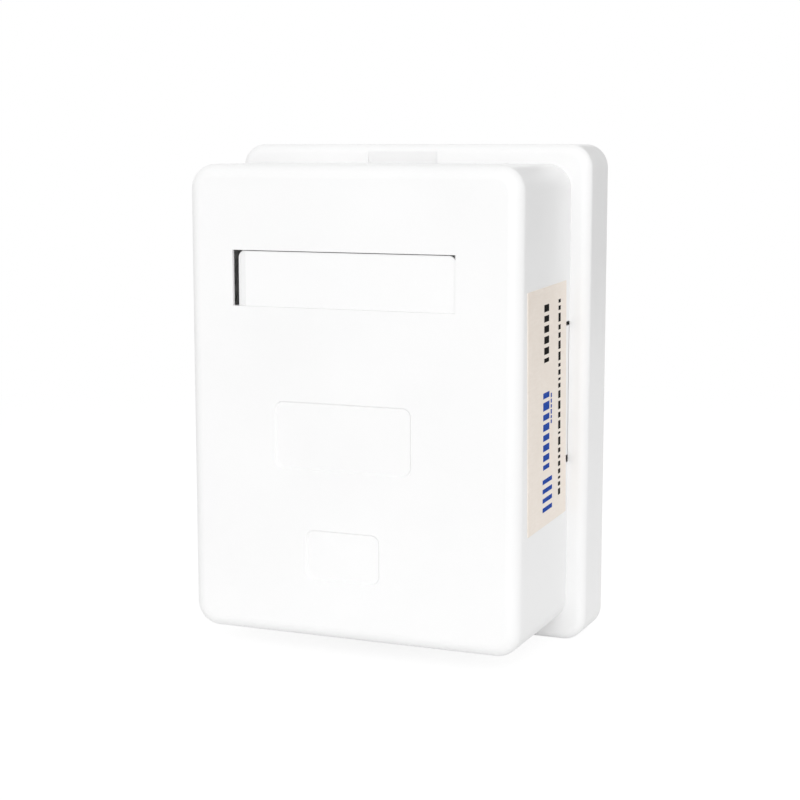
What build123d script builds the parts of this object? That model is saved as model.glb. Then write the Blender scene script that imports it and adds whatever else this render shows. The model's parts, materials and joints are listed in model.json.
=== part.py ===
from build123d import *
import os

# Surface mount jack box for one data outlet, in millimetres.
# X runs to the right and Z up. The wall face is the plane Y = 0, with the origin at its middle.
# "Depth" is the distance out from the wall, so a depth of 8 is the plane Y = -8.

# Base tray
BASE_WIDTH = 52.0
BASE_HEIGHT = 68.0
BASE_DEPTH = 8.4
BASE_CORNER = 3.2
BASE_FLOOR = 2.0
LIP_EDGE = 1.3

# Cover shell, which stands on the base's shoulder, with a skirt inside the base's well
SHOULDER = 2.6
COVER_RISE = 20.6
COVER_CORNER = 3.3
COVER_EDGE = 1.8
COVER_WALL = 1.8
COVER_FRONT = 2.2
INNER_CORNER = 1.5
RIM_LEDGE = 0.8
SKIRT_GAP = 0.6
COVER_FIT = 0.15

# The label pocket, the panels and the pry scoop sit a little left of the middle
FACE_SHIFT = -1.0

# Label pocket and plate
POCKET_WIDTH = 31.5
POCKET_HEIGHT = 7.4
POCKET_Z = 16.5
POCKET_DEPTH = 1.6
PLATE_SETBACK = 0.25
PLATE_FIT = 0.01
PLATE_TOP_GAP = 0.12
PLATE_CORNER = 1.0
PRY_GAP = 0.6
PRY_LEDGE = 0.3
PRY_SKIN = 0.5
PRY_UNDERCUT = 1.5
BEVEL_RUN = 1.2
BEVEL_DROP = 0.4
LEG_SPREAD = 22.0
LEG_WIDTH = 4.0
LEG_THICK = 1.0
LEG_REACH = 3.3
LEG_FIT = 0.3

# Two shallow sunk panels with sloping sides in the front face
PANEL_DROP = 0.22
PANEL_SLOPE = 0.22
PANEL_CORNER = 1.2
LARGE_PANEL_WIDTH = 19.5
LARGE_PANEL_HEIGHT = 9.1
LARGE_PANEL_Z = -4.1
SMALL_PANEL_WIDTH = 10.6
SMALL_PANEL_HEIGHT = 6.8
SMALL_PANEL_Z = -20.0

# Paper sticker on the right side of the cover
STICKER_WIDTH = 16.0
STICKER_HEIGHT = 31.5
STICKER_THICK = 0.1
STICKER_DEPTH = 17.8
STICKER_TURN = 1.8

# Tongue of the base each side, which stands in a bay of the well and in a notch of the cover
TONGUE_WIDTH = 17.7
TONGUE_Z = 1.0
TONGUE_THICK = 1.3
TONGUE_SETBACK = 0.05
TONGUE_FIT = 0.03
NOTCH_RISE = 1.4
NOTCH_GAP_ABOVE = 0.6
NOTCH_GAP_BELOW = 1.0

# Pry scoop in the base's top shoulder, deepest beside the cover
SCOOP_LENGTH = 10.4
SCOOP_WIDTH = 1.7
SCOOP_DEPTH = 0.6

# Wall screw holes and cable entry in the base's floor
WALL_HOLE_SPACING = 36.4
WALL_HOLE_R = 1.9
HEAD_RECESS_R = 3.1
HEAD_RECESS = 0.5
ENTRY_WIDTH = 14.0
ENTRY_HEIGHT = 9.0
ENTRY_CORNER = 2.0
ENTRY_GAP = 3.0

# Circuit board, its posts and screws
POST_RISE = 4.4
POST_R = 2.6
PILOT_R = 1.0
PILOT_DEPTH = 4.2
BOARD_THICK = 1.6
BOARD_WIDTH = 30.0
BOARD_CORNER = 1.0
BOARD_END_GAP = 0.8
BOARD_TOP_STRIP = 7.7
SCREW_MARGIN = 3.3
SCREW_GAP = 1.7
SCREW_HOLE_R = 1.25
SCREW_R = 0.95
SCREW_REACH = 3.8
SCREW_HEAD_R = 2.2
SCREW_HEAD = 1.5
CROSS_LENGTH = 2.6
CROSS_WIDTH = 0.6
CROSS_DEPTH = 0.9

# Modular jack, its port flush with the bottom end of the cover
JACK_WIDTH = 15.6
JACK_RISE = 13.4
JACK_LENGTH = 18.4
JACK_INSET = 0.2
JACK_FIT = 0.3
JACK_FLOOR = 1.6
PLUG_WIDTH = 11.9
PLUG_RISE = 7.0
PLUG_REACH = 11.7
LATCH_WIDTH = 6.2
LATCH_RISE = 1.8
KEYWAY_WIDTH = 3.4
KEYWAY_RISE = 1.3
KEYWAY_REACH = 4.0
PEG_R = 1.4
PEG_SPREAD = 12.2
PEG_BACK = 9.0
PEG_STUB = 0.6
HOLE_FIT = 0.1

# Contact carrier and sprung wires of the jack
CARRIER_WIDTH = 10.6
CARRIER_RISE = 7.5
CARRIER_FIT = 0.1
CARRIER_INSET = 0.4
CONTACTS = 8
CONTACT_PITCH = 1.02
CONTACT_SIZE = 0.4
CONTACT_BEND = 0.5
CONTACT_SIDE_ROOM = 0.5
CONTACT_RUN = 0.9
CONTACT_TURN = 2.8
TURN_RISE = 1.2
CONTACT_LIFT = 3.0
TIP_GAP = 0.6
PIN_STUB = 1.0
PIN_MARGIN = 1.0
PIN_ROW_GAP = 2.0
PIN_HOLE_R = 0.4

# Punch-down terminal blocks, their blades and caps
BLOCK_WAYS = 4
BLOCK_PITCH = 3.6
BLOCK_END = 0.6
BLOCK_WIDTH = 7.0
BLOCK_RISE = 11.0
BLOCK_SIDE_MARGIN = 1.1
BLOCK_GAP = 4.0
WIRE_SLOT = 1.1
WIRE_SLOT_DEPTH = 5.5
LEAD_IN = 0.9
BLADE_THICK = 0.5
BLADE_WIDTH = 2.6
BLADE_RISE = 9.4
BLADE_SLIT = 0.45
BLADE_SLIT_DEPTH = 5.0
BLADE_PIN = 0.8
BLADE_FIT = 0.1
BLADE_HOLE_R = 0.55
CAP_WALL = 0.9
CAP_ROOF = 1.0
CAP_SKIRT = 4.0
CAP_FIT = 0.2
CAP_CORNER = 0.8
CAP_SLOT = 1.6
CAP_SLOT_RISE = 2.4

# Cutters reach this far past the faces that they cut through
OVERCUT = 1.0

# Places worked out from the sizes above
cover_width = BASE_WIDTH - 2 * SHOULDER
cover_height = BASE_HEIGHT - 2 * SHOULDER
cover_front = BASE_DEPTH + COVER_RISE
cover_right = cover_width / 2
cover_top = cover_height / 2
cover_bottom = -cover_top
well_right = cover_right - RIM_LEDGE
well_top = cover_top - RIM_LEDGE
well_corner = COVER_CORNER - RIM_LEDGE

tongue_low = TONGUE_Z - TONGUE_WIDTH / 2
tongue_high = TONGUE_Z + TONGUE_WIDTH / 2
tongue_outside = cover_right - TONGUE_SETBACK
notch_z = (tongue_low - NOTCH_GAP_BELOW, tongue_high + NOTCH_GAP_ABOVE)
notch_front = BASE_DEPTH + NOTCH_RISE

pocket_left = FACE_SHIFT - POCKET_WIDTH / 2
pocket_right = FACE_SHIFT + POCKET_WIDTH / 2
pocket_low = POCKET_Z - POCKET_HEIGHT / 2
pocket_high = POCKET_Z + POCKET_HEIGHT / 2
pocket_back = cover_front - POCKET_DEPTH
plate_left = pocket_left + PRY_GAP
plate_right = pocket_right - PLATE_FIT
plate_x = (plate_left + plate_right) / 2
plate_low = pocket_low + PLATE_FIT
plate_high = pocket_high - PLATE_TOP_GAP
plate_front = cover_front - PLATE_SETBACK

board_back = BASE_FLOOR + POST_RISE
board_front = board_back + BOARD_THICK
port_z = cover_bottom + JACK_INSET
jack_end = port_z + JACK_LENGTH
jack_front = board_front + JACK_RISE
plug_back = board_front + JACK_FLOOR
plug_front = plug_back + PLUG_RISE
plug_end = port_z + PLUG_REACH
carrier_end = jack_end - CARRIER_INSET

block_length = BLOCK_WAYS * BLOCK_PITCH + 2 * BLOCK_END
block_x = BOARD_WIDTH / 2 - BLOCK_SIDE_MARGIN - BLOCK_WIDTH / 2
block_z = jack_end + BLOCK_GAP + block_length / 2
block_front = board_front + BLOCK_RISE

board_bottom = cover_bottom + COVER_WALL + BOARD_END_GAP
board_top = block_z + block_length / 2 + BOARD_TOP_STRIP
board_z = (board_bottom + board_top) / 2
entry_z = board_top + ENTRY_GAP + ENTRY_HEIGHT / 2
screw_x = JACK_WIDTH / 2 + SCREW_GAP + SCREW_HEAD_R
screw_rows = (board_bottom + SCREW_MARGIN, board_top - SCREW_MARGIN)
screw_places = [(x, z) for z in screw_rows for x in (-screw_x, screw_x)]


def prism(width, height, corner, back, front, x=0.0, z=0.0):
    """A rounded rectangle, seen from the front, between two depths."""
    outline = Pos(x, z) * RectangleRounded(width, height, corner)
    return extrude(Plane.XZ.offset(back) * outline, front - back)


def block(x_span, z_span, depth_span):
    """A plain box between two places in X, in Z and in depth."""
    size = [span[1] - span[0] for span in (x_span, depth_span, z_span)]
    return Pos(sum(x_span) / 2, -sum(depth_span) / 2, sum(z_span) / 2) * Box(*size)


def rod(radius, back, front, x=0.0, z=0.0):
    """A round bar that runs straight out from the wall."""
    return extrude(Plane.XZ.offset(back) * Pos(x, z) * Circle(radius), front - back)


def about(centre, half):
    """The span that reaches half to each side of a centre."""
    return (centre - half, centre + half)


def beside(side, inner, outer):
    """The span from inner to outer on the right (side 1) or mirrored on the left (side -1)."""
    return tuple(sorted((side * inner, side * outer)))


def soften_front(solid, radius):
    """Rounds the edge round the face that looks away from the wall."""
    return fillet(solid.faces().sort_by(Axis.Y)[0].edges(), radius)


def contact_x(number):
    return (number - (CONTACTS - 1) / 2) * CONTACT_PITCH


def pin_z(number):
    """The contact pins stand in two rows, turn about."""
    return carrier_end - PIN_MARGIN - (number % 2) * PIN_ROW_GAP


def way_z(way):
    return block_z + (way - (BLOCK_WAYS - 1) / 2) * BLOCK_PITCH


def make_base():
    base = prism(BASE_WIDTH, BASE_HEIGHT, BASE_CORNER, 0, BASE_DEPTH)
    base = soften_front(base, LIP_EDGE)
    base -= prism(2 * well_right, 2 * well_top, well_corner, BASE_FLOOR, BASE_DEPTH + OVERCUT)
    tongue_front = notch_front - TONGUE_FIT
    for side in (-1, 1):
        bay_x = beside(side, well_right - OVERCUT, cover_right)
        base -= block(bay_x, notch_z, (BASE_FLOOR, BASE_DEPTH + OVERCUT))
        tongue_x = beside(side, tongue_outside - TONGUE_THICK, tongue_outside)
        base += block(tongue_x, (tongue_low, tongue_high), (0, tongue_front))
    scoop = make_face(
        Polyline(
            (SCOOP_DEPTH - BASE_DEPTH, cover_top),
            (-BASE_DEPTH, cover_top),
            (-BASE_DEPTH, cover_top + SCOOP_WIDTH),
            close=True,
        )
    )
    base -= extrude(Plane.YZ.offset(FACE_SHIFT - SCOOP_LENGTH / 2) * scoop, SCOOP_LENGTH)
    seat_x = about(0, JACK_WIDTH / 2 + JACK_FIT)
    seat_z = (port_z - COVER_FIT, OVERCUT - well_top)
    base -= block(seat_x, seat_z, (board_front - JACK_FIT, BASE_DEPTH + OVERCUT))
    for x, z in screw_places:
        base += rod(POST_R, 0, board_back, x, z)
        base -= rod(PILOT_R, board_back - PILOT_DEPTH, board_back + OVERCUT, x, z)
    for side in (-1, 1):
        hole_x = side * WALL_HOLE_SPACING / 2
        base -= rod(WALL_HOLE_R, -OVERCUT, BASE_FLOOR + OVERCUT, hole_x)
        base -= rod(HEAD_RECESS_R, BASE_FLOOR - HEAD_RECESS, BASE_FLOOR + OVERCUT, hole_x)
    base -= prism(ENTRY_WIDTH, ENTRY_HEIGHT, ENTRY_CORNER, -OVERCUT, BASE_FLOOR + OVERCUT, z=entry_z)
    return base


def make_panel_cutter(width, height, z):
    """A sunk panel's hollow. Width and height are at the front face, and the sides slope in to its floor."""
    outlines = []
    for depth, inset in ((cover_front - PANEL_DROP, PANEL_SLOPE), (cover_front, 0.0)):
        outline = RectangleRounded(width - 2 * inset, height - 2 * inset, PANEL_CORNER - inset)
        outlines.append(Plane.XZ.offset(depth) * Pos(FACE_SHIFT, z) * outline)
    return loft(outlines)


def make_cover():
    cover = prism(cover_width, cover_height, COVER_CORNER, BASE_DEPTH, cover_front)
    cover = soften_front(cover, COVER_EDGE)
    skirt_width = 2 * (well_right - COVER_FIT)
    skirt_height = 2 * (well_top - COVER_FIT)
    skirt_back = BASE_FLOOR + SKIRT_GAP
    cover += prism(skirt_width, skirt_height, well_corner - COVER_FIT, skirt_back, BASE_DEPTH)
    cover_inside = cover_front - COVER_FRONT
    inside_width = cover_width - 2 * COVER_WALL
    inside_height = cover_height - 2 * COVER_WALL
    cover -= prism(inside_width, inside_height, INNER_CORNER, BASE_FLOOR - OVERCUT, cover_inside)
    for side in (-1, 1):
        notch_x = beside(side, cover_right - COVER_WALL - OVERCUT, cover_right + OVERCUT)
        cover -= block(notch_x, notch_z, (BASE_FLOOR - OVERCUT, notch_front))
    port_x = about(0, JACK_WIDTH / 2 + JACK_FIT)
    port_wall = (cover_bottom - OVERCUT, cover_bottom + COVER_WALL + OVERCUT)
    cover -= block(port_x, port_wall, (BASE_FLOOR - OVERCUT, jack_front + JACK_FIT))
    for width, height, z in (
        (LARGE_PANEL_WIDTH, LARGE_PANEL_HEIGHT, LARGE_PANEL_Z),
        (SMALL_PANEL_WIDTH, SMALL_PANEL_HEIGHT, SMALL_PANEL_Z),
    ):
        cover -= make_panel_cutter(width, height, z)
    pocket_depth = (pocket_back, cover_front + OVERCUT)
    cover -= block((pocket_left, pocket_right), (pocket_low, pocket_high), pocket_depth)
    pry_depth = (cover_inside - OVERCUT, cover_front - PRY_SKIN)
    pry_left = pocket_left - PRY_UNDERCUT
    cover -= block((pry_left, plate_left), (POCKET_Z, pocket_high), pry_depth)
    cover -= block((pry_left, plate_left - PRY_LEDGE), (pocket_low, POCKET_Z), pry_depth)
    for side in (-1, 1):
        slot_x = about(plate_x + side * LEG_SPREAD / 2, LEG_WIDTH / 2 + LEG_FIT)
        slot_z = about(POCKET_Z, LEG_THICK / 2 + LEG_FIT)
        cover -= block(slot_x, slot_z, (cover_inside - OVERCUT, pocket_back + OVERCUT / 2))
    return cover


def make_label_plate():
    plate = block((plate_left, plate_right), (plate_low, plate_high), (pocket_back, plate_front))
    top_corners = plate.edges().filter_by(Axis.Y).group_by(Axis.Z)[-1]
    plate = fillet(top_corners, PLATE_CORNER)
    bevel = make_face(
        Polyline(
            (plate_left - OVERCUT, -plate_front + BEVEL_DROP * (1 + OVERCUT / BEVEL_RUN)),
            (plate_left - OVERCUT, -plate_front - OVERCUT),
            (plate_left + BEVEL_RUN, -plate_front - OVERCUT),
            (plate_left + BEVEL_RUN, -plate_front),
            close=True,
        )
    )
    plate -= extrude(Plane.XY.offset(pocket_low - OVERCUT) * bevel, POCKET_HEIGHT + 2 * OVERCUT)
    for side in (-1, 1):
        leg_x = about(plate_x + side * LEG_SPREAD / 2, LEG_WIDTH / 2)
        leg_depth = (pocket_back - LEG_REACH, plate_front - BEVEL_DROP)
        plate += block(leg_x, about(POCKET_Z, LEG_THICK / 2), leg_depth)
    return plate


def make_side_sticker():
    paper = Box(STICKER_THICK, STICKER_WIDTH, STICKER_HEIGHT)
    return Pos(cover_right + STICKER_THICK / 2, -STICKER_DEPTH, 0) * Rot(STICKER_TURN, 0, 0) * paper


def make_board():
    board = prism(BOARD_WIDTH, board_top - board_bottom, BOARD_CORNER, board_back, board_front, z=board_z)
    holes = [(SCREW_HOLE_R, x, z) for x, z in screw_places]
    holes += [(PIN_HOLE_R, contact_x(number), pin_z(number)) for number in range(CONTACTS)]
    holes += [(BLADE_HOLE_R, side * block_x, way_z(way)) for side in (-1, 1) for way in range(BLOCK_WAYS)]
    holes += [(PEG_R + HOLE_FIT, side * PEG_SPREAD / 2, port_z + PEG_BACK) for side in (-1, 1)]
    for radius, x, z in holes:
        board -= rod(radius, board_back - OVERCUT, board_front + OVERCUT, x, z)
    return board


def make_board_screws():
    head_front = board_front + SCREW_HEAD
    screws = []
    for x, z in screw_places:
        head = soften_front(rod(SCREW_HEAD_R, board_front, head_front, x, z), SCREW_HEAD / 2)
        screw = head + rod(SCREW_R, board_back - SCREW_REACH, head_front - CROSS_DEPTH, x, z)
        cross_depth = (head_front - CROSS_DEPTH, head_front + OVERCUT)
        screw -= block(about(x, CROSS_LENGTH / 2), about(z, CROSS_WIDTH / 2), cross_depth)
        screw -= block(about(x, CROSS_WIDTH / 2), about(z, CROSS_LENGTH / 2), cross_depth)
        screws.append(screw.solid())
    return Compound(screws)


def make_jack_housing():
    housing = block(about(0, JACK_WIDTH / 2), (port_z, jack_end), (board_front, jack_front))
    into_port = port_z - OVERCUT
    latch_front = plug_front + LATCH_RISE
    housing -= block(about(0, PLUG_WIDTH / 2), (into_port, plug_end), (plug_back, plug_front))
    housing -= block(about(0, LATCH_WIDTH / 2), (into_port, plug_end), (plug_back, latch_front))
    keyway_z = (into_port, port_z + KEYWAY_REACH)
    housing -= block(about(0, KEYWAY_WIDTH / 2), keyway_z, (plug_back, latch_front + KEYWAY_RISE))
    carrier_room_x = about(0, CARRIER_WIDTH / 2 + CARRIER_FIT)
    carrier_room_depth = (board_front - OVERCUT, board_front + CARRIER_RISE + CARRIER_FIT)
    housing -= block(carrier_room_x, (plug_end, jack_end + OVERCUT), carrier_room_depth)
    wires_x = about(0, contact_x(CONTACTS - 1) + CONTACT_SIZE / 2 + CONTACT_SIDE_ROOM)
    wires_z = (port_z + CONTACT_TURN - CONTACT_SIZE - CONTACT_SIDE_ROOM, plug_end)
    housing -= block(wires_x, wires_z, (board_front - OVERCUT, plug_front))
    for side in (-1, 1):
        peg_x = side * PEG_SPREAD / 2
        housing += rod(PEG_R, board_back - PEG_STUB, board_front + JACK_FLOOR / 2, peg_x, port_z + PEG_BACK)
    return housing


def make_contact(number):
    """One wire: up through the board, forward under the plug, then back over itself into the port."""
    run_depth = board_front + CONTACT_RUN
    turn_z = port_z + CONTACT_TURN
    path = FilletPolyline(
        (-(board_back - PIN_STUB), pin_z(number)),
        (-run_depth, pin_z(number)),
        (-run_depth, turn_z),
        (-(run_depth + TURN_RISE), turn_z),
        (-(run_depth + CONTACT_LIFT), plug_end - TIP_GAP),
        radius=CONTACT_BEND,
    )
    ribbon = trace(path, CONTACT_SIZE)
    return extrude(Plane.YZ.offset(contact_x(number) - CONTACT_SIZE / 2) * ribbon, CONTACT_SIZE)


def make_carrier(contacts):
    carrier_depth = (board_front, board_front + CARRIER_RISE)
    carrier = block(about(0, CARRIER_WIDTH / 2), (plug_end, carrier_end), carrier_depth)
    for contact in contacts:
        carrier -= contact
    return carrier


def make_terminal_block(side):
    centre = side * block_x
    body = block(about(centre, BLOCK_WIDTH / 2), about(block_z, block_length / 2), (board_front, block_front))
    left_of_body = centre - BLOCK_WIDTH / 2 - OVERCUT
    for way in range(BLOCK_WAYS):
        z = way_z(way)
        slot_depth = (block_front - WIRE_SLOT_DEPTH, block_front + OVERCUT)
        body -= block(about(centre, BLOCK_WIDTH / 2 + OVERCUT), about(z, WIRE_SLOT / 2), slot_depth)
        lead_in = make_face(
            Polyline(
                (-block_front, z - WIRE_SLOT / 2 - LEAD_IN),
                (-block_front, z + WIRE_SLOT / 2 + LEAD_IN),
                (-block_front + LEAD_IN, z + WIRE_SLOT / 2),
                (-block_front + LEAD_IN, z - WIRE_SLOT / 2),
                close=True,
            )
        )
        body -= extrude(Plane.YZ.offset(left_of_body) * lead_in, BLOCK_WIDTH + 2 * OVERCUT)
        room_x = about(centre, BLADE_THICK / 2 + BLADE_FIT)
        room_z = about(z, BLADE_WIDTH / 2 + BLADE_FIT)
        body -= block(room_x, room_z, (board_front - OVERCUT, board_front + BLADE_RISE + BLADE_FIT))
    return body


def make_terminal_blade(side, way):
    centre = side * block_x
    z = way_z(way)
    thick = about(centre, BLADE_THICK / 2)
    blade_front = board_front + BLADE_RISE
    blade = block(thick, about(z, BLADE_WIDTH / 2), (board_front, blade_front))
    blade += block(thick, about(z, BLADE_PIN / 2), (board_back - PIN_STUB, blade_front - BLADE_SLIT_DEPTH))
    slit_x = about(centre, BLADE_THICK / 2 + OVERCUT)
    blade -= block(slit_x, about(z, BLADE_SLIT / 2), (blade_front - BLADE_SLIT_DEPTH, blade_front + OVERCUT))
    return blade


def make_terminal_cap(side):
    centre = side * block_x
    room_width = BLOCK_WIDTH + 2 * CAP_FIT
    room_length = block_length + 2 * CAP_FIT
    skirt_back = block_front - CAP_SKIRT
    cap_width = room_width + 2 * CAP_WALL
    cap_length = room_length + 2 * CAP_WALL
    cap_front = block_front + CAP_ROOF
    cap = prism(cap_width, cap_length, CAP_CORNER, skirt_back, cap_front, centre, block_z)
    cap = soften_front(cap, CAP_ROOF / 2)
    room_depth = (skirt_back - OVERCUT, block_front)
    cap -= block(about(centre, room_width / 2), about(block_z, room_length / 2), room_depth)
    for way in range(BLOCK_WAYS):
        slot_depth = (skirt_back - OVERCUT, skirt_back + CAP_SLOT_RISE)
        cap -= block(about(centre, cap_width / 2 + OVERCUT), about(way_z(way), CAP_SLOT / 2), slot_depth)
    return cap


def make_nodes():
    contacts = [make_contact(number) for number in range(CONTACTS)]
    nodes = {
        "base": make_base(),
        "cover": make_cover(),
        "label_plate": make_label_plate(),
        "side_sticker": make_side_sticker(),
        "circuit_board": make_board(),
        "board_screws": make_board_screws(),
        "jack_housing": make_jack_housing(),
        "contact_carrier": make_carrier(contacts),
    }
    for number, contact in enumerate(contacts):
        nodes[f"jack_contact_{number + 1}"] = contact
    for first, (side, word) in enumerate(((-1, "left"), (1, "right"))):
        nodes[f"terminal_block_{word}"] = make_terminal_block(side)
        nodes[f"terminal_cap_{word}"] = make_terminal_cap(side)
        for way in range(BLOCK_WAYS):
            nodes[f"terminal_blade_{first * BLOCK_WAYS + way + 1}"] = make_terminal_blade(side, way)
    return nodes


os.makedirs("parts", exist_ok=True)
for name, shape in make_nodes().items():
    export_step(shape, f"parts/{name}.step")
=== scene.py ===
# %% [markdown]
# # A surface mount jack box
# The box is a white moulded cover that stands on a wider base. It holds a circuit board with a modular jack
# and two terminal blocks. The solids, their sizes and their joints come from the frame, so this script adds
# only the looks: finishes, print, board details, light and a camera.

# %% The frame
import json
import math

import bmesh
import bpy
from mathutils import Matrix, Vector


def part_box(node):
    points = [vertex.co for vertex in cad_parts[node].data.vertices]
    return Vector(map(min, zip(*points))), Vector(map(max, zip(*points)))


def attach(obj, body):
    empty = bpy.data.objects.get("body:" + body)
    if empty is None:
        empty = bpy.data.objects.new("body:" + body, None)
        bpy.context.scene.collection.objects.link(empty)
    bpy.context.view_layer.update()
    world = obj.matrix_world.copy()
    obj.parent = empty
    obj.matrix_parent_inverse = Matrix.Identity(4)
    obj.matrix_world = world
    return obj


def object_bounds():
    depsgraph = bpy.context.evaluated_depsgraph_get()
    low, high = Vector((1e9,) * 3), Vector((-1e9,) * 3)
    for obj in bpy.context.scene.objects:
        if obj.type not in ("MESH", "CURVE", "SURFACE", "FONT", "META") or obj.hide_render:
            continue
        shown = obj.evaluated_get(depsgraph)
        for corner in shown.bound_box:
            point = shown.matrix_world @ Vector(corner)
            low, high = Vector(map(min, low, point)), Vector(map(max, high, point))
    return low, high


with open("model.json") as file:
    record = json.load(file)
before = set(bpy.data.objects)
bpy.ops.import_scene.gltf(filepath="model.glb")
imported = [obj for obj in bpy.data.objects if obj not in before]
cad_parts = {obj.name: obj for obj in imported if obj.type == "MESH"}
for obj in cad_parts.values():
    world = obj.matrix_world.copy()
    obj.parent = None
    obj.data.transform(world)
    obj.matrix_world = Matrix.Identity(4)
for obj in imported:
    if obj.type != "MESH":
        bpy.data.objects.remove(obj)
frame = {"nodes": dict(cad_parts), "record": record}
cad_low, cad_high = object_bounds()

MM = 0.001
nodes = frame["nodes"]
print("nodes", len(nodes), "CAD box in mm", [round(v / MM, 2) for v in cad_high - cad_low])

# %% [markdown]
# ## Camera
# The box is seen a little from its right and a little from above. Lines that run away from the eye hardly
# draw together, so the lens is long. The camera is placed by two angles and a distance from a point inside
# the box, which is easier to reason about than three coordinates.

# %% Camera
LENS = 79.85
SENSOR_WIDTH = 36.0
NEAREST = 10 * MM
CAMERA_YAW = math.radians(22.61)
CAMERA_PITCH = math.radians(8.14)
CAMERA_DISTANCE = 243.65 * MM
AIM = Vector((1.2, -14.5, -0.78)) * MM


def direction(yaw, pitch):
    """The way from the box to a place seen at these angles, yaw to the right and pitch up."""
    return Vector((math.sin(yaw) * math.cos(pitch), -math.cos(yaw) * math.cos(pitch), math.sin(pitch)))


def place_facing(thing, way, distance):
    """Puts a camera or a lamp at a distance from the aim, and turns it to look there."""
    thing.location = AIM + distance * way
    thing.rotation_euler = (-way).to_track_quat("-Z", "Y").to_euler()
    bpy.context.scene.collection.objects.link(thing)


camera_data = bpy.data.cameras.new("camera")
camera_data.lens = LENS
camera_data.sensor_width = SENSOR_WIDTH
camera_data.clip_start = NEAREST
camera = bpy.data.objects.new("camera", camera_data)
place_facing(camera, direction(CAMERA_YAW, CAMERA_PITCH), CAMERA_DISTANCE)
bpy.context.scene.camera = camera
bpy.context.scene.view_settings.view_transform = "Standard"
print("camera in mm", [round(v / MM, 1) for v in camera.location])


# %% [markdown]
# ## Node helpers
# Every finish below is a small node tree, and so is every repeated shape. The first helper adds a node with
# its values in one line, so that each tree reads as a list of what it is made of.

# %% Node helpers
def add(tree, kind, links=None, **values):
    """Adds a node, sets its properties, and links or sets its inputs by name or number."""
    node = tree.nodes.new(kind)
    for key, value in values.items():
        setattr(node, key, value)
    for socket, source in (links or {}).items():
        if isinstance(source, bpy.types.NodeSocket):
            tree.links.new(source, node.inputs[socket])
        else:
            node.inputs[socket].default_value = source
    return node


def math_node(tree, operation, first, second):
    """What a Math node makes of two values."""
    return add(tree, "ShaderNodeMath", {0: first, 1: second}, operation=operation).outputs[0]


def grey(level):
    return (level, level, level)


# %% [markdown]
# ## World
# The background is white and the light is soft, so the box shows mostly by the difference between its front
# and its sides. A picture of a studio could light it, but a plain dome is easier to tune: it shines from
# every side and gives most of the light, a little more of it from the left. The eye has to see plain white,
# so the Light Path node swaps the dome's level for 1 on every ray that shows the background: straight,
# mirrored or through glass.

# %% World
DOME_LEVEL = 0.7
DOME_LEFT_LEVEL = 0.8
DOME_BLEND = 0.5


def make_world():
    world = bpy.data.worlds.new("studio")
    world.use_nodes = True
    tree = world.node_tree
    background = tree.nodes["Background"]
    way = add(tree, "ShaderNodeTexCoord").outputs["Generated"]
    across = add(tree, "ShaderNodeSeparateXYZ", {0: way}).outputs["X"]
    spread = {"Value": across, "From Min": -DOME_BLEND, "From Max": DOME_BLEND}
    spread.update({"To Min": DOME_LEFT_LEVEL, "To Max": DOME_LEVEL})
    level = add(tree, "ShaderNodeMapRange", spread, interpolation_type="SMOOTHSTEP").outputs["Result"]
    rays = add(tree, "ShaderNodeLightPath").outputs
    seen = math_node(tree, "MAXIMUM", rays["Is Camera Ray"], rays["Is Glossy Ray"])
    seen = math_node(tree, "MAXIMUM", seen, rays["Is Transmission Ray"])
    strength = add(tree, "ShaderNodeMix", {0: seen, 2: level, 3: 1.0}, data_type="FLOAT")
    background.inputs["Color"].default_value = (1.0, 1.0, 1.0, 1.0)
    tree.links.new(strength.outputs[0], background.inputs["Strength"])
    bpy.context.scene.world = world


make_world()
print("dome", DOME_LEFT_LEVEL, "on the left,", DOME_LEVEL, "on the right")

# %% [markdown]
# ## Lamp
# One lamp near the eye adds the rest of the light. A small lamp would leave hard shadows and bright spots, so
# this one is wider than it is far. It stands a little higher than the box, so it leaves fine shade lines
# under the upper edges.

# %% Lamp
LAMP_DISTANCE = 0.9
LAMP_SIZE = 1.2
LAMP_YAW = math.radians(25.0)
LAMP_PITCH = math.radians(20.0)
LAMP_LEVEL = 0.61


def add_lamp(name, way, level):
    """A round soft lamp. Its level is about what it adds to a white matt surface that faces it."""
    lamp = bpy.data.lights.new(name, "AREA")
    lamp.shape = "DISK"
    lamp.size = LAMP_SIZE
    lamp.energy = level * (math.pi * LAMP_DISTANCE) ** 2
    place_facing(bpy.data.objects.new(name, lamp), way, LAMP_DISTANCE)
    print(name, round(lamp.energy, 2), "W")


add_lamp("key_lamp", direction(LAMP_YAW, LAMP_PITCH), LAMP_LEVEL)

# %% [markdown]
# ## Floor
# A floor that is only painted white looks grey beside a white background. So the camera sees most of it as
# plain white, with a share of real shading, which keeps a faint shadow. That share fades out with distance,
# so that the floor has no edge. All other rays meet a matt table that is lit from below round the box, which
# lifts the box's lower edges.

# %% Looks of the floor
FLOOR_SHADING = 0.14
FLOOR_LIGHT = 0.7
TABLE_TONE = 0.75
TABLE_GLOW = 0.17
FADE_START = 0.05
FADE_END = 0.25


def fade_with_distance(tree):
    """0 near the box and 1 far from it, by the distance along the floor."""
    place = add(tree, "ShaderNodeTexCoord").outputs["Object"]
    flat = add(tree, "ShaderNodeVectorMath", {0: place, 1: (1.0, 1.0, 0.0)}, operation="MULTIPLY").outputs[0]
    distance = add(tree, "ShaderNodeVectorMath", {0: flat}, operation="LENGTH").outputs["Value"]
    limits = {"Value": distance, "From Min": FADE_START, "From Max": FADE_END}
    return add(tree, "ShaderNodeMapRange", limits, interpolation_type="SMOOTHSTEP").outputs["Result"]


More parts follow.
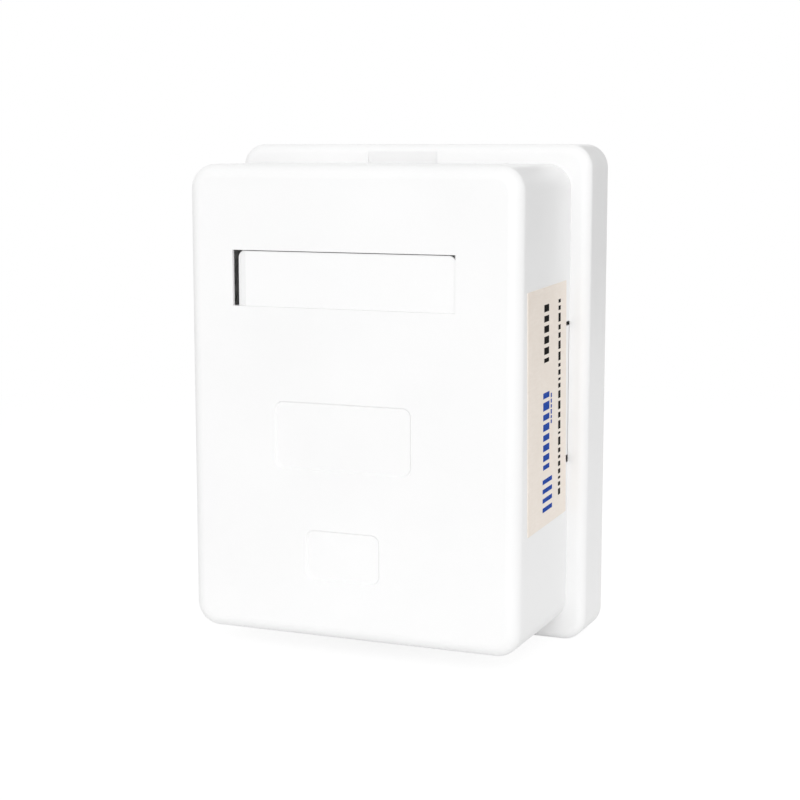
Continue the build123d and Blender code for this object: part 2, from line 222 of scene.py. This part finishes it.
def white_look(tree, fade):
    """What the camera sees: white with a share of real shading, and plain white far away."""
    glow = add(tree, "ShaderNodeEmission", {"Strength": 1.0 - FLOOR_SHADING})
    share = FLOOR_SHADING / FLOOR_LIGHT
    shaded = add(tree, "ShaderNodeBsdfDiffuse", {"Color": (*grey(share), 1.0)})
    near = add(tree, "ShaderNodeAddShader", {0: glow.outputs[0], 1: shaded.outputs[0]})
    far = add(tree, "ShaderNodeEmission", {"Strength": 1.0})
    return add(tree, "ShaderNodeMixShader", {0: fade, 1: near.outputs[0], 2: far.outputs[0]}).outputs[0]


def table_look(tree, fade):
    """What all other rays meet: a matt table with a glow round the box."""
    matt = add(tree, "ShaderNodeBsdfDiffuse", {"Color": (*grey(TABLE_TONE), 1.0)})
    level = add(tree, "ShaderNodeMapRange", {"Value": fade, "To Min": TABLE_GLOW, "To Max": 0.0})
    glow = add(tree, "ShaderNodeEmission", {"Strength": level.outputs["Result"]})
    return add(tree, "ShaderNodeAddShader", {0: matt.outputs[0], 1: glow.outputs[0]}).outputs[0]


# %% Floor
FLOOR_HALF = 1.5
SQUARE = ((-1, -1), (1, -1), (1, 1), (-1, 1))


def add_stage(name, corners, material):
    """A flat sheet that belongs to the studio, not to the box."""
    mesh = bpy.data.meshes.new(name)
    mesh.from_pydata(corners, [], [(0, 1, 2, 3)])
    mesh.materials.append(material)
    sheet = bpy.data.objects.new(name, mesh)
    bpy.context.scene.collection.objects.link(sheet)
    return sheet


def make_floor():
    """A white plane under the box. Seen from below it is clear, so that it hides nothing."""
    material = bpy.data.materials.new("floor_white")
    material.use_nodes = True
    tree = material.node_tree
    tree.nodes.clear()
    fade = fade_with_distance(tree)
    eye = add(tree, "ShaderNodeLightPath").outputs["Is Camera Ray"]
    looks = {0: eye, 1: table_look(tree, fade), 2: white_look(tree, fade)}
    lit = add(tree, "ShaderNodeMixShader", looks)
    clear = add(tree, "ShaderNodeBsdfTransparent")
    back = add(tree, "ShaderNodeNewGeometry").outputs["Backfacing"]
    sided = add(tree, "ShaderNodeMixShader", {0: back, 1: lit.outputs[0], 2: clear.outputs[0]})
    add(tree, "ShaderNodeOutputMaterial", {"Surface": sided.outputs[0]})
    corners = [(x * FLOOR_HALF, y * FLOOR_HALF, cad_low.z) for x, y in SQUARE]
    add_stage("floor", corners, material)


make_floor()
print("floor at", round(cad_low.z / MM, 2), "mm")

# %% [markdown]
# ## Card
# A studio often stands a grey card just out of the picture, for a glossy side to mirror. Here the right side
# of the cover mirrors the card, except near its foot, where it mirrors the bright shoulder of the base. That
# makes the side fade to white there. Only mirrored rays see the card, so it darkens and hides nothing else.

# %% Card
CARD_YAW = math.radians(155.0)
CARD_PITCH = math.radians(-4.0)
CARD_DISTANCE = 0.45
CARD_HALF = 0.3
CARD_TONE = 0.15
CARD_ROUGHNESS = 0.9


def make_card():
    material = bpy.data.materials.new("grey_card")
    material.use_nodes = True
    shader = material.node_tree.nodes["Principled BSDF"]
    shader.inputs["Base Color"].default_value = (*grey(CARD_TONE), 1.0)
    shader.inputs["Roughness"].default_value = CARD_ROUGHNESS
    middle = AIM + CARD_DISTANCE * direction(CARD_YAW, CARD_PITCH)
    across = CARD_HALF * direction(CARD_YAW - math.pi / 2, 0.0)
    up = Vector((0.0, 0.0, CARD_HALF))
    card = add_stage("card", [middle + x * across + z * up for x, z in SQUARE], material)
    card.visible_camera = False
    card.visible_diffuse = False
    card.visible_transmission = False
    card.visible_shadow = False
    print("card at", [round(v / MM) for v in middle], "mm")


make_card()


# %% [markdown]
# ## Finish helpers
# A real surface is never quite even, so each finish takes its colour, roughness and relief from noises. The
# noises use Object coordinates, which keep a pattern fixed to its piece when the piece moves. These helpers
# turn a noise into a colour or a value between two limits, and link the result to the shader.

# %% Finish helpers
BUMP_STRENGTH = 0.3


def new_material(name):
    """A material with a Principled shader, and its tree, shader and Object coordinates."""
    material = bpy.data.materials.new(name)
    material.use_nodes = True
    tree = material.node_tree
    shader = tree.nodes["Principled BSDF"]
    place = add(tree, "ShaderNodeTexCoord").outputs["Object"]
    return material, tree, shader, place


def noise(tree, place, scale, detail=2.0):
    given = {"Vector": place, "Scale": scale, "Detail": detail}
    return add(tree, "ShaderNodeTexNoise", given).outputs["Fac"]


def tone_between(tree, amount, low, high, start=0.3, end=0.7):
    """A colour that goes from low to high as amount goes from start to end."""
    ramp = add(tree, "ShaderNodeValToRGB", {"Fac": amount})
    for element, position, colour in zip(ramp.color_ramp.elements, (start, end), (low, high)):
        element.position = position
        element.color = (*colour, 1.0)
    return ramp.outputs["Color"]


def value_between(tree, amount, low, high):
    limits = {"Value": amount, "To Min": low, "To Max": high}
    return add(tree, "ShaderNodeMapRange", limits).outputs["Result"]


def stretched(tree, place, stretch):
    """Coordinates for a pattern that is long along the axes where stretch is small."""
    return add(tree, "ShaderNodeVectorMath", {0: place, 1: stretch}, operation="MULTIPLY").outputs[0]


def finish(tree, shader, colour, roughness, height=None, relief=0.0):
    """Links a finish's colour, roughness and relief (in metres) to its shader."""
    tree.links.new(colour, shader.inputs["Base Color"])
    tree.links.new(roughness, shader.inputs["Roughness"])
    if height is not None:
        bump = add(tree, "ShaderNodeBump", {"Height": height, "Strength": BUMP_STRENGTH, "Distance": relief})
        tree.links.new(bump.outputs["Normal"], shader.inputs["Normal"])


# %% [markdown]
# ## Moulded plastics
# The case is a bright white plastic with a satin skin. A mould leaves a very fine grain in such a skin, and
# the white is never quite even. An image could carry this, but noises need no file and have no seams. There
# are three: a wide one for the tone, a finer one for the gloss, and the finest for the grain. The jack, its
# carrier, the terminal blocks and the caps are moulded too, so one recipe with other values serves them all.

# %% Moulded plastics
TONE_SCALE = 60.0
GLOSS_SCALE = 240.0
GLOSS_SPREAD = 0.06
GRAIN_SCALE = 3500.0
GRAIN_RELIEF = 0.02 * MM
FINE_GRAIN_SCALE = 6000.0
FINE_GRAIN_RELIEF = 0.01 * MM
PLASTIC_IOR = 1.46


def moulded_plastic(name, low, high, roughness, grain_scale=GRAIN_SCALE, relief=GRAIN_RELIEF):
    """A satin plastic whose tone wanders from low to high, with a fine grain in its skin."""
    material, tree, shader, place = new_material(name)
    colour = tone_between(tree, noise(tree, place, TONE_SCALE), low, high)
    wander = noise(tree, place, GLOSS_SCALE, detail=3.0)
    gloss = value_between(tree, wander, roughness - GLOSS_SPREAD, roughness + GLOSS_SPREAD)
    finish(tree, shader, colour, gloss, noise(tree, place, grain_scale), relief)
    shader.inputs["IOR"].default_value = PLASTIC_IOR
    return material


plastics = {
    "case_white": (grey(0.875), grey(0.895), 0.33),
    "label_white": (grey(0.885), grey(0.9), 0.38, FINE_GRAIN_SCALE, FINE_GRAIN_RELIEF),
    "jack_plastic": ((0.78, 0.78, 0.755), (0.82, 0.82, 0.8), 0.4),
    "carrier_plastic": ((0.025, 0.045, 0.11), (0.035, 0.06, 0.14), 0.42),
    "terminal_plastic": ((0.74, 0.715, 0.64), (0.78, 0.755, 0.69), 0.44),
    "cap_plastic": (grey(0.81), grey(0.84), 0.36),
}
finishes = {name: moulded_plastic(name, *look) for name, look in plastics.items()}
print("plastics", sorted(finishes))


# %% [markdown]
# ## Metals
# The contact wires are gold plated, the terminal blades are tinned and the screws are zinc plated. A plated
# surface keeps the drawn or rolled lines of the metal under it. A noise that is stretched along the part
# gives those lines, and it drives both the tone and the roughness, so that the lines catch the light.

# %% Metals
LINE_SCALE = 2200.0
LINE_RELIEF = 0.008 * MM
LINE_SPREAD = 0.08


def plated_metal(name, low, high, roughness, stretch=(1.0, 1.0, 1.0)):
    """A plated metal with fine lines, which are long along the axes where stretch is small."""
    material, tree, shader, place = new_material(name)
    lines = noise(tree, stretched(tree, place, stretch), LINE_SCALE, detail=3.0)
    colour = tone_between(tree, lines, low, high)
    gloss = value_between(tree, lines, roughness - LINE_SPREAD, roughness + LINE_SPREAD)
    finish(tree, shader, colour, gloss, lines, LINE_RELIEF)
    shader.inputs["Metallic"].default_value = 1.0
    return material


metals = {
    "contact_gold": ((0.78, 0.55, 0.18), (0.88, 0.66, 0.27), 0.24, (1.0, 0.2, 0.1)),
    "blade_metal": ((0.62, 0.59, 0.52), (0.76, 0.73, 0.66), 0.36, (1.0, 0.1, 1.0)),
    "screw_steel": ((0.54, 0.55, 0.57), (0.68, 0.69, 0.71), 0.32, (1.0, 0.2, 1.0)),
}
finishes.update({name: plated_metal(name, *look) for name, look in metals.items()})
print("metals", sorted(metals))


# %% [markdown]
# ## Circuit board
# The board is a glass-fibre laminate under a green solder mask. The mask covers only the two wide faces, so
# the cut edges show the tan laminate. Two materials on chosen faces could do this, but here the direction of
# the surface tells the two apart, so the solid's faces stay as they are. Two crossed waves under the mask
# give the weave of the glass cloth.

# %% Circuit board
MASK_DARK = (0.012, 0.13, 0.045)
MASK_LIGHT = (0.02, 0.18, 0.065)
MASK_START, MASK_END = 0.3, 0.92
MASK_ROUGHNESS = (0.26, 0.36)
MOTTLE_SCALE = 500.0
LAMINATE_DARK = (0.336, 0.272, 0.136)
LAMINATE_LIGHT = (0.42, 0.34, 0.17)
LAMINATE_SCALE = 900.0
GLASS_PITCH = 0.5 * MM
WAVE_RADIANS = 20.0
WEAVE_RELIEF = 0.01 * MM


def glass_weave(tree, place):
    """Two crossed waves. A Wave texture turns by WAVE_RADIANS over a unit length, at a scale of 1."""
    scale = 2 * math.pi / (WAVE_RADIANS * GLASS_PITCH)
    waves = []
    for axis in ("X", "Z"):
        wave = add(tree, "ShaderNodeTexWave", {"Vector": place, "Scale": scale}, bands_direction=axis)
        waves.append(wave.outputs["Fac"])
    return math_node(tree, "MULTIPLY", *waves)


def board_finish():
    material, tree, shader, place = new_material("board_green")
    weave = glass_weave(tree, place)
    mottle = math_node(tree, "ADD", weave, noise(tree, place, MOTTLE_SCALE))
    mask = tone_between(tree, mottle, MASK_DARK, MASK_LIGHT, MASK_START, MASK_END)
    normal = add(tree, "ShaderNodeTexCoord").outputs["Normal"]
    way = add(tree, "ShaderNodeSeparateXYZ", {0: normal}).outputs["Y"]
    wide = math_node(tree, "MULTIPLY", way, way)
    edge = tone_between(tree, noise(tree, place, LAMINATE_SCALE), LAMINATE_DARK, LAMINATE_LIGHT)
    colour = add(tree, "ShaderNodeMix", {0: wide, 6: edge, 7: mask}, data_type="RGBA").outputs[2]
    finish(tree, shader, colour, value_between(tree, mottle, *MASK_ROUGHNESS), weave, WEAVE_RELIEF)
    return material


finishes["board_green"] = board_finish()
print("board nodes", len(finishes["board_green"].node_tree.nodes))


# %% [markdown]
# ## Paper sticker
# The sticker on the right side is beige paper. Paper shows short fibres, so its tone comes from two noises,
# one of them stretched into threads. The paper is coated, so it mirrors the shoulder as the plastic does.

# %% Paper sticker
PAPER_DARK = (0.86, 0.775, 0.69)
PAPER_LIGHT = (0.905, 0.825, 0.745)
PAPER_START, PAPER_END = 0.12, 0.42
PAPER_ROUGHNESS = (0.3, 0.42)
PAPER_RELIEF = 0.01 * MM
THREAD_SCALE = 2600.0
THREAD_STRETCH = (1.0, 0.25, 1.0)
CLOUD_SCALE = 260.0


def paper_finish():
    material, tree, shader, place = new_material("sticker_paper")
    threads = noise(tree, stretched(tree, place, THREAD_STRETCH), THREAD_SCALE, detail=4.0)
    cloud = noise(tree, place, CLOUD_SCALE, detail=3.0)
    mixed = math_node(tree, "MULTIPLY", threads, cloud)
    colour = tone_between(tree, mixed, PAPER_DARK, PAPER_LIGHT, PAPER_START, PAPER_END)
    finish(tree, shader, colour, value_between(tree, cloud, *PAPER_ROUGHNESS), threads, PAPER_RELIEF)
    return material


finishes["sticker_paper"] = paper_finish()
print("paper nodes", len(finishes["sticker_paper"].node_tree.nodes))

# %% [markdown]
# ## Finishes on the solids
# Every solid names its material slot in the record. The finishes could be set one by one, but a loop over the
# solids can't miss any, and it stops with an error if a slot has no finish.

# %% Finishes on the solids
slot_of = {part["node"]: part["material_slot"] for part in frame["record"]["subparts"]}
for name, node in nodes.items():
    node.data.materials.clear()
    node.data.materials.append(finishes[slot_of[name]])
print("finished nodes", len(nodes), "slots", len(set(slot_of.values())))


# %% [markdown]
# ## Geometry Nodes helpers
# Printed dashes, copper tracks and solder joints repeat, so Geometry Nodes make them. They could be placed by
# plain loops, but a tree keeps each shape and its sizes in one place. One helper starts a tree with named
# inputs, and the other ends it, with its instances made real and painted.

# %% Geometry Nodes helpers
def new_tree(name, **inputs):
    """A Geometry Nodes tree. Each input is named, with the kind of its socket."""
    tree = bpy.data.node_groups.new(name, "GeometryNodeTree")
    tree.interface.new_socket("Geometry", in_out="INPUT", socket_type="NodeSocketGeometry")
    tree.interface.new_socket("Result", in_out="OUTPUT", socket_type="NodeSocketGeometry")
    for label, kind in inputs.items():
        tree.interface.new_socket(label, in_out="INPUT", socket_type="NodeSocket" + kind)
    return tree, add(tree, "NodeGroupInput").outputs


def close_tree(tree, shape, material):
    """Ends a tree: its instances become real and take the material."""
    real = add(tree, "GeometryNodeRealizeInstances", {0: shape}).outputs[0]
    painted = add(tree, "GeometryNodeSetMaterial", {"Geometry": real, "Material": material}).outputs[0]
    add(tree, "NodeGroupOutput", {0: painted})


# %% [markdown]
# ## From a tree to a piece
# A modifier runs a tree on a few points or lines. An exported model can't hold a live modifier, so the result
# is kept as a plain mesh and the object that made it is removed. Meshes of one material are then joined into
# one piece, which moves with a body.

# %% From a tree to a piece
def grow(name, tree, points, edges, **values):
    """Runs a tree on points and edges, and returns its result as a plain mesh."""
    mesh = bpy.data.meshes.new(name)
    mesh.from_pydata(points, edges, [])
    start = bpy.data.objects.new(name, mesh)
    bpy.context.scene.collection.objects.link(start)
    modifier = start.modifiers.new("grow", "NODES")
    modifier.node_group = tree
    for socket in tree.interface.items_tree:
        if socket.name in values:
            modifier[socket.identifier] = values[socket.name]
    graph = bpy.context.evaluated_depsgraph_get()
    result = bpy.data.meshes.new_from_object(start.evaluated_get(graph))
    bpy.data.objects.remove(start)
    return result


def add_piece(name, meshes, body):
    """Joins meshes of one material into one piece that rides on a body."""
    shape = bmesh.new()
    for mesh in meshes:
        shape.from_mesh(mesh)
    bmesh.ops.recalc_face_normals(shape, faces=shape.faces)
    for face in shape.faces:
        face.material_index = 0
    joined = bpy.data.meshes.new(name)
    shape.to_mesh(joined)
    shape.free()
    joined.materials.append(meshes[0].materials[-1])
    piece = bpy.data.objects.new(name, joined)
    bpy.context.scene.collection.objects.link(piece)
    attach(piece, body)
    print(name, len(joined.polygons), "faces")


# %% [markdown]
# ## Rows of dashes
# The paper carries rows of print that run up the box, and here they are plain dashes. An image could hold
# them, but thin boxes stay sharp at any distance. Each row is a line of points whose dashes have random
# lengths from a fixed seed. An Accumulate Field node adds up the lengths and the gaps, so that each dash
# starts one gap after the dash before it.

# %% Rows of dashes
def make_row_tree():
    """Dashes down from the top of a row, then turned and put in their place on the paper."""
    kinds = {"Count": "Int", "Seed": "Int", "Material": "Material", "Place": "Vector", "Turn": "Vector"}
    for label in ("Shortest", "Longest", "Gap", "Height", "Thickness", "Top", "Across"):
        kinds[label] = "Float"
    tree, given = new_tree("print_row", **kinds)
    points = add(tree, "GeometryNodePoints", {"Count": given["Count"]}).outputs[0]
    limits = {2: given["Shortest"], 3: given["Longest"], "Seed": given["Seed"]}
    length = add(tree, "FunctionNodeRandomValue", limits, data_type="FLOAT").outputs[1]
    step = math_node(tree, "ADD", length, given["Gap"])
    before = add(tree, "GeometryNodeAccumulateField", {0: step}).outputs["Trailing"]
    halfway = {0: length, 1: 0.5, 2: before}
    middle = add(tree, "ShaderNodeMath", halfway, operation="MULTIPLY_ADD").outputs[0]
    along = math_node(tree, "SUBTRACT", given["Top"], middle)
    place = add(tree, "ShaderNodeCombineXYZ", {"Y": given["Across"], "Z": along}).outputs[0]
    placed = add(tree, "GeometryNodeSetPosition", {"Geometry": points, "Position": place}).outputs[0]
    sides = {"X": given["Thickness"], "Y": given["Height"], "Z": length}
    size = add(tree, "ShaderNodeCombineXYZ", sides).outputs[0]
    cube = add(tree, "GeometryNodeMeshCube").outputs["Mesh"]
    copies = {"Points": placed, "Instance": cube, "Scale": size}
    dashes = add(tree, "GeometryNodeInstanceOnPoints", copies).outputs[0]
    turned = {"Geometry": dashes, "Translation": given["Place"], "Rotation": given["Turn"]}
    close_tree(tree, add(tree, "GeometryNodeTransform", turned).outputs[0], given["Material"])
    return tree


row_tree = make_row_tree()
print("row tree", len(row_tree.nodes), "nodes")

# %% [markdown]
# ## Ink
# Ink soaks in, so it hardly shines, and its tone wanders a little where the paper takes up more or less of
# it. One noise drives both the tone and the roughness. A flat colour would do from afar, but it looks like
# plastic up close.

# %% Ink
INK_SCALE = 3000.0
INK_ROUGHNESS = (0.6, 0.75)
INK_SPECULAR = 0.05


def ink(name, low, high):
    material, tree, shader, place = new_material(name)
    spread = noise(tree, place, INK_SCALE, detail=4.0)
    colour = tone_between(tree, spread, low, high)
    finish(tree, shader, colour, value_between(tree, spread, *INK_ROUGHNESS))
    shader.inputs["Specular IOR Level"].default_value = INK_SPECULAR
    return material


black_ink = ink("ink_black", grey(0.003), (0.008, 0.008, 0.007))
blue_ink = ink("ink_blue", (0.011, 0.05, 0.29), (0.021, 0.085, 0.44))
print("inks", black_ink.name, blue_ink.name)

# %% [markdown]
# ## Print on the sticker
# The rows are black and blue, with four plain blue bars at the lower end. The sticker is stuck on with a
# slight turn, and the print turns with it. Each colour becomes one piece that rides on the cover.

# %% Print on the sticker
STICKER_TURN = math.radians(1.8)
INK_THICK = 0.02 * MM
sticker_low, sticker_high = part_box("side_sticker")
sticker_face = (sticker_low + sticker_high) / 2
sticker_face.x = sticker_high.x


def print_row(material, seed, count, across, top, lengths, gap, height):
    """One row of dashes, in millimetres from the middle of the sticker, across it towards the wall."""
    sizes = {"Across": across, "Top": top, "Gap": gap, "Height": height}
    sizes["Shortest"], sizes["Longest"] = lengths
    sizes = {label: value * MM for label, value in sizes.items()}
    return grow(
        "print_row", row_tree, [], [], Count=count, Seed=seed, Material=material, Thickness=INK_THICK,
        Place=sticker_face, Turn=(STICKER_TURN, 0.0, 0.0), **sizes,
    )


black_rows = [
    print_row(black_ink, seed=3, count=6, across=-0.5, top=13.5, lengths=(0.4, 1.0), gap=0.5, height=2.0),
    print_row(black_ink, seed=8, count=24, across=5.0, top=13.6, lengths=(0.25, 1.15), gap=0.4, height=0.95),
]
blue_rows = [
    print_row(blue_ink, seed=5, count=8, across=-0.6, top=2.0, lengths=(0.4, 1.1), gap=0.5, height=2.6),
    print_row(blue_ink, seed=6, count=6, across=1.5, top=1.6, lengths=(0.35, 0.7), gap=0.2, height=0.5),
    print_row(blue_ink, seed=1, count=4, across=-0.1, top=-9.5, lengths=(0.6, 0.6), gap=0.65, height=4.0),
]
add_piece("sticker_print_black", black_rows, "cover")
add_piece("sticker_print_blue", blue_rows, "cover")

# %% [markdown]
# ## Ribbons
# Tracks, rings and outlines on a board are all flat bands that follow a line. One tree sweeps a flat section
# along such lines. The curve's normal is held, so that the bands stay flat on the board at every bend.

# %% Ribbons
board_low, board_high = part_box("circuit_board")
board_face = board_low.y


def make_ribbon_tree():
    tree, given = new_tree("ribbon", Width="Float", Thickness="Float", Material="Material")
    path = add(tree, "GeometryNodeMeshToCurve", {0: given["Geometry"]}).outputs[0]
    path = add(tree, "GeometryNodeSetCurveNormal", {0: path, 2: (0.0, -1.0, 0.0)}, mode="FREE").outputs[0]
    sizes = {"Width": given["Thickness"], "Height": given["Width"]}
    section = add(tree, "GeometryNodeCurvePrimitiveQuadrilateral", sizes).outputs[0]
    swept = {"Curve": path, "Profile Curve": section, "Fill Caps": True}
    close_tree(tree, add(tree, "GeometryNodeCurveToMesh", swept).outputs[0], given["Material"])
    return tree


ribbon_tree = make_ribbon_tree()


def ribbons(name, lines, width, thickness, material, closed=False):
    """Flat bands on the board's front face along lines of (x, z) points."""
    points = []
    edges = []
    for line in lines:
        first = len(points)
        points += [(x, board_face - thickness / 2, z) for x, z in line]
        edges += [(i, i + 1) for i in range(first, len(points) - 1)]
        if closed:
            edges.append((len(points) - 1, first))
    return grow(name, ribbon_tree, points, edges, Width=width, Thickness=thickness, Material=material)


print("ribbon tree", len(ribbon_tree.nodes), "nodes")

# %% [markdown]
# ## Copper tracks
# Eight tracks join the jack's pins to the terminal blades. They lie under the mask, so they show as flat
# raised bands of lighter green. Each pin and blade is found from its solid. A track leaves its pin upwards,
# turns out at half a right angle and ends at its blade. The outermost pin takes the lowest blade, so no two
# tracks cross.

# %% Copper tracks
TRACK_WIDTH = 0.55 * MM
TRACK_THICK = 0.04 * MM
TRACK_TURN = 1.4 * MM
TRACK_DARK = (0.025, 0.22, 0.07)
TRACK_LIGHT = (0.035, 0.27, 0.09)
TRACK_ROUGHNESS = 0.3
WIRES = 8


def middle_of(name):
    low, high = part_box(name)
    return (low + high) / 2


def track(number):
    """The line from a jack pin to its blade. The pins of each half go to the block on their side."""
    half = WIRES // 2
    on_left = number < half
    way = number if on_left else WIRES - 1 - number
    blade = middle_of(f"terminal_blade_{way + 1 if on_left else half + way + 1}")
    wire_low, wire_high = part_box(f"jack_contact_{number + 1}")
    half_wire = (wire_high.x - wire_low.x) / 2
    pin_x, pin_z = wire_low.x + half_wire, wire_high.z - half_wire
    out = -TRACK_TURN if on_left else TRACK_TURN
    return [(pin_x, pin_z), (pin_x, blade.z - TRACK_TURN), (pin_x + out, blade.z), (blade.x, blade.z)]


track_lines = [track(number) for number in range(WIRES)]
mask_track = moulded_plastic("mask_over_copper", TRACK_DARK, TRACK_LIGHT, TRACK_ROUGHNESS)
tracks = ribbons("tracks", track_lines, TRACK_WIDTH, TRACK_THICK, mask_track)
add_piece("board_tracks", [tracks], "base")

# %% [markdown]
# ## Screw lands
# A board is left bare and tinned round each screw, where the head bears on it. Such a land is a ring, so the
# ribbon tree draws it along a circle. The four screws are one node, and their axes lie one head radius inside
# its box.

# %% Screw lands
SCREW_HEAD_RADIUS = 2.2 * MM
LAND_RADIUS = 2.55 * MM
LAND_WIDTH = 0.6 * MM
LAND_SIDES = 40
screw_low, screw_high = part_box("board_screws")


def ring(x, z):
    turns = [2 * math.pi * i / LAND_SIDES for i in range(LAND_SIDES)]
    return [(x + LAND_RADIUS * math.cos(turn), z + LAND_RADIUS * math.sin(turn)) for turn in turns]


screw_columns = (screw_low.x + SCREW_HEAD_RADIUS, screw_high.x - SCREW_HEAD_RADIUS)
screw_rows = (screw_low.z + SCREW_HEAD_RADIUS, screw_high.z - SCREW_HEAD_RADIUS)
rings = [ring(x, z) for x in screw_columns for z in screw_rows]
tinned = plated_metal("tinned_land", (0.66, 0.65, 0.62), (0.78, 0.77, 0.74), 0.34)
lands = ribbons("lands", rings, LAND_WIDTH, TRACK_THICK, tinned, closed=True)
add_piece("screw_lands", [lands], "base")

# %% [markdown]
# ## Outlines on the board
# Boards are printed with a white line round each part, to show where it goes. The same tree draws these lines
# a small gap outside the jack and the two terminal blocks. The jack hangs over the board's lower end, so its
# lowest line is kept on the board.

# %% Outlines on the board
OUTLINE_GAP = 0.5 * MM
OUTLINE_WIDTH = 0.18 * MM
PRINT_THICK = 0.02 * MM


def outline(name):
    low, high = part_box(name)
    west, east = low.x - OUTLINE_GAP, high.x + OUTLINE_GAP
    south, north = max(low.z, board_low.z + 2 * OUTLINE_GAP) - OUTLINE_GAP, high.z + OUTLINE_GAP
    return [(west, south), (east, south), (east, north), (west, north)]


board_print = ink("board_print", (0.72, 0.72, 0.7), (0.8, 0.8, 0.78))
outlines = [outline(name) for name in ("jack_housing", "terminal_block_left", "terminal_block_right")]
outline_mesh = ribbons("outlines", outlines, OUTLINE_WIDTH, PRINT_THICK, board_print, closed=True)
add_piece("board_outlines", [outline_mesh], "base")

# %% [markdown]
# ## Solder joints
# Every pin goes through the board and is soldered behind it. Solder draws up the pin to a small cone with a
# wider foot. A turned profile would be rounder, but at this size two short cones look the same and need few
# faces. A tree puts one joint on each pin.

# %% Solder joints
SOLDER_FOOT = 0.85 * MM
SOLDER_WAIST = 0.55 * MM
SOLDER_TIP = 0.32 * MM
SOLDER_FOOT_RISE = 0.25 * MM
SOLDER_TIP_RISE = 0.55 * MM
SOLDER_SIDES = 20


def make_solder_tree():
    tree, given = new_tree("solder", Material="Material")
    cones = add(tree, "GeometryNodeJoinGeometry")
    height = 0.0
    for low, high, rise in (
        (SOLDER_FOOT, SOLDER_WAIST, SOLDER_FOOT_RISE),
        (SOLDER_WAIST, SOLDER_TIP, SOLDER_TIP_RISE),
    ):
        sizes = {"Vertices": SOLDER_SIDES, "Radius Top": high, "Radius Bottom": low, "Depth": rise}
        cone = add(tree, "GeometryNodeMeshCone", sizes).outputs[0]
        lifted = {"Geometry": cone, "Translation": (0.0, 0.0, height)}
        tree.links.new(add(tree, "GeometryNodeTransform", lifted).outputs[0], cones.inputs[0])
        height += rise
    turned = {"Geometry": cones.outputs[0], "Rotation": (-math.pi / 2, 0.0, 0.0)}
    joint = add(tree, "GeometryNodeTransform", turned).outputs[0]
    placed = {"Points": given["Geometry"], "Instance": joint}
    close_tree(tree, add(tree, "GeometryNodeInstanceOnPoints", placed).outputs[0], given["Material"])
    return tree


pins = [line[0] for line in track_lines] + [line[-1] for line in track_lines]
pin_points = [(x, board_high.y, z) for x, z in pins]
solder = plated_metal("solder", grey(0.6), (0.75, 0.75, 0.74), 0.28)
joints = grow("solder_joints", make_solder_tree(), pin_points, [], Material=solder)
add_piece("solder_joints", [joints], "base")
